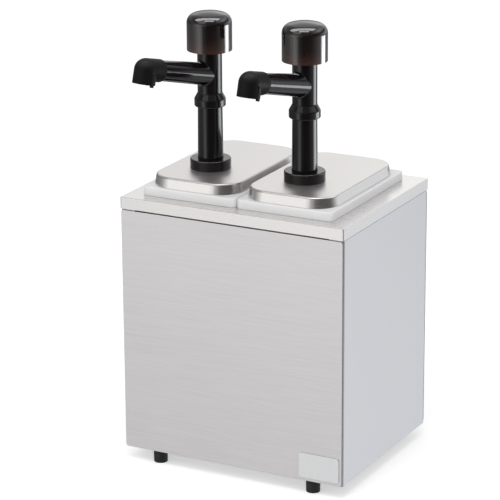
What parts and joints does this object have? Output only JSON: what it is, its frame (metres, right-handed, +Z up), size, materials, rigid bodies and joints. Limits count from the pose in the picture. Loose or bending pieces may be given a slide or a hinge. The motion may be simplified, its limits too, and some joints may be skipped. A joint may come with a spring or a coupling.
{
  "type": "two-jar topping warmer with pumps",
  "caption": "Brushed steel countertop cabinet holding white jars side by side under steel lids, each with a black push pump and an angled spout.",
  "frame": {"origin": "on the counter plane under the middle of the cabinet's width and depth", "axes": "+Z up along the pumps, front towards -Y, +X to the right seen from the front"},
  "size_m": [0.26, 0.2584, 0.4835],
  "materials": {
    "brushed_panels": "brushed, satin",
    "deck_steel": "brushed, satin",
    "lid_steel": "satin, polished skirt",
    "inner_steel": "plain mill finish",
    "plated_steel": "bright zinc plate",
    "badge_metal": "fine satin, bare",
    "jar_plastic": "smooth, slightly soft sheen",
    "pump_black": "glossy",
    "knob_smoke": "glossy, dark smoky translucent",
    "nozzle_black": "matte",
    "black_rubber": "matte",
    "seal_rubber": "matte",
    "spreader_aluminium": "mill finish",
    "insulation_fibre": "matte fibre mat",
    "control_black": "fine textured",
    "rocker_black": "semi-gloss",
    "lamp_amber": "glossy, translucent",
    "terminal_white": "plain",
    "wire_sleeve": "silicone sleeve",
    "copper_line": "bright drawn"
  },
  "bodies": {
    "cabinet": {"top_deck": "deck_steel", "front_panel": "brushed_panels", "rear_panel": "brushed_panels", "left_side_panel": "brushed_panels", "right_side_panel": "brushed_panels", "bottom_pan": "inner_steel", "badge_plate": "badge_metal", "hex_nuts": "plated_steel", "foot_screws": "plated_steel", "panel_screws": "plated_steel", "front_left_foot": "black_rubber", "front_right_foot": "black_rubber", "rear_left_foot": "black_rubber", "rear_right_foot": "black_rubber", "warming_well": "inner_steel", "insulation_wrap": "insulation_fibre", "heat_spreader_plate": "spreader_aluminium", "heating_element": "inner_steel", "element_clamps": "inner_steel", "thermostat_bulb": "copper_line", "thermal_cutout": "control_black", "thermostat_body": "control_black", "switch_housing": "control_black", "pilot_lamp": "lamp_amber", "power_inlet": "control_black", "terminal_block": "terminal_white", "internal_wires": "wire_sleeve"},
    "thermostat_dial": {"thermostat_spindle": "plated_steel", "thermostat_knob": "control_black"},
    "rocker": {"switch_rocker": "rocker_black"},
    "left_jar_unit": {"left_jar": "jar_plastic"},
    "left_lid_unit": {"left_lid": "lid_steel", "left_lid_gasket": "seal_rubber", "left_lock_nut": "pump_black", "left_barrel": "pump_black", "left_suction_fitting": "pump_black", "left_suction_tube": "jar_plastic", "left_return_spring": "plated_steel"},
    "left_plunger": {"left_plunger_tube": "pump_black", "left_piston_seal": "seal_rubber"},
    "left_head_unit": {"left_pump_head": "pump_black", "left_nozzle": "nozzle_black", "left_knob": "knob_smoke"},
    "left_suction_valve": {"left_suction_ball": "plated_steel"},
    "left_discharge_valve": {"left_discharge_ball": "plated_steel"},
    "right_jar_unit": {"right_jar": "jar_plastic"},
    "right_lid_unit": {"right_lid": "lid_steel", "right_lid_gasket": "seal_rubber", "right_lock_nut": "pump_black", "right_barrel": "pump_black", "right_suction_fitting": "pump_black", "right_suction_tube": "jar_plastic", "right_return_spring": "plated_steel"},
    "right_plunger": {"right_plunger_tube": "pump_black", "right_piston_seal": "seal_rubber"},
    "right_head_unit": {"right_pump_head": "pump_black", "right_nozzle": "nozzle_black", "right_knob": "knob_smoke"},
    "right_suction_valve": {"right_suction_ball": "plated_steel"},
    "right_discharge_valve": {"right_discharge_ball": "plated_steel"}
  },
  "joints": [
    {"name": "thermostat_turn", "type": "hinge", "parent": "cabinet", "child": "thermostat_dial", "pos_m": [0.065, 0.1045, 0.052], "axis": [0, -1, 0], "range_deg": [0, 270]},
    {"name": "rocker_tilt", "type": "hinge", "parent": "cabinet", "child": "rocker", "pos_m": [-0.0234, 0.1015, 0.052], "axis": [1, 0, 0], "range_deg": [0, 14]},
    {"name": "left_jar_lift", "type": "slide", "parent": "cabinet", "child": "left_jar_unit", "axis": [0, 0, 1], "range_m": [0, 0.2]},
    {"name": "left_lid_lift", "type": "slide", "parent": "left_jar_unit", "child": "left_lid_unit", "axis": [0, 0, 1], "range_m": [0, 0.2]},
    {"name": "left_pump_press", "type": "slide", "parent": "left_lid_unit", "child": "left_plunger", "axis": [0, 0, -1], "range_m": [0, 0.048], "stiffness_N_per_m": 300, "springref_m": -0.03, "deforming": ["left_return_spring"]},
    {"name": "left_spout_swivel", "type": "hinge", "parent": "left_plunger", "child": "left_head_unit", "pos_m": [-0.0635, -0.027, 0.3825], "axis": [0, 0, 1], "range_deg": [-70, 40]},
    {"name": "left_suction_ball_lift", "type": "slide", "parent": "left_lid_unit", "child": "left_suction_valve", "axis": [0, 0, 1], "range_m": [0, 0.0035]},
    {"name": "left_discharge_ball_lift", "type": "slide", "parent": "left_plunger", "child": "left_discharge_valve", "axis": [0, 0, 1], "range_m": [0, 0.006]},
    {"name": "right_jar_lift", "type": "slide", "parent": "cabinet", "child": "right_jar_unit", "axis": [0, 0, 1], "range_m": [0, 0.2]},
    {"name": "right_lid_lift", "type": "slide", "parent": "right_jar_unit", "child": "right_lid_unit", "axis": [0, 0, 1], "range_m": [0, 0.2]},
    {"name": "right_pump_press", "type": "slide", "parent": "right_lid_unit", "child": "right_plunger", "axis": [0, 0, -1], "range_m": [0, 0.048], "stiffness_N_per_m": 300, "springref_m": -0.03, "deforming": ["right_return_spring"]},
    {"name": "right_spout_swivel", "type": "hinge", "parent": "right_plunger", "child": "right_head_unit", "pos_m": [0.0475, -0.027, 0.3825], "axis": [0, 0, 1], "range_deg": [-15, 85]},
    {"name": "right_suction_ball_lift", "type": "slide", "parent": "right_lid_unit", "child": "right_suction_valve", "axis": [0, 0, 1], "range_m": [0, 0.0035]},
    {"name": "right_discharge_ball_lift", "type": "slide", "parent": "right_plunger", "child": "right_discharge_valve", "axis": [0, 0, 1], "range_m": [0, 0.006]}
  ]
}
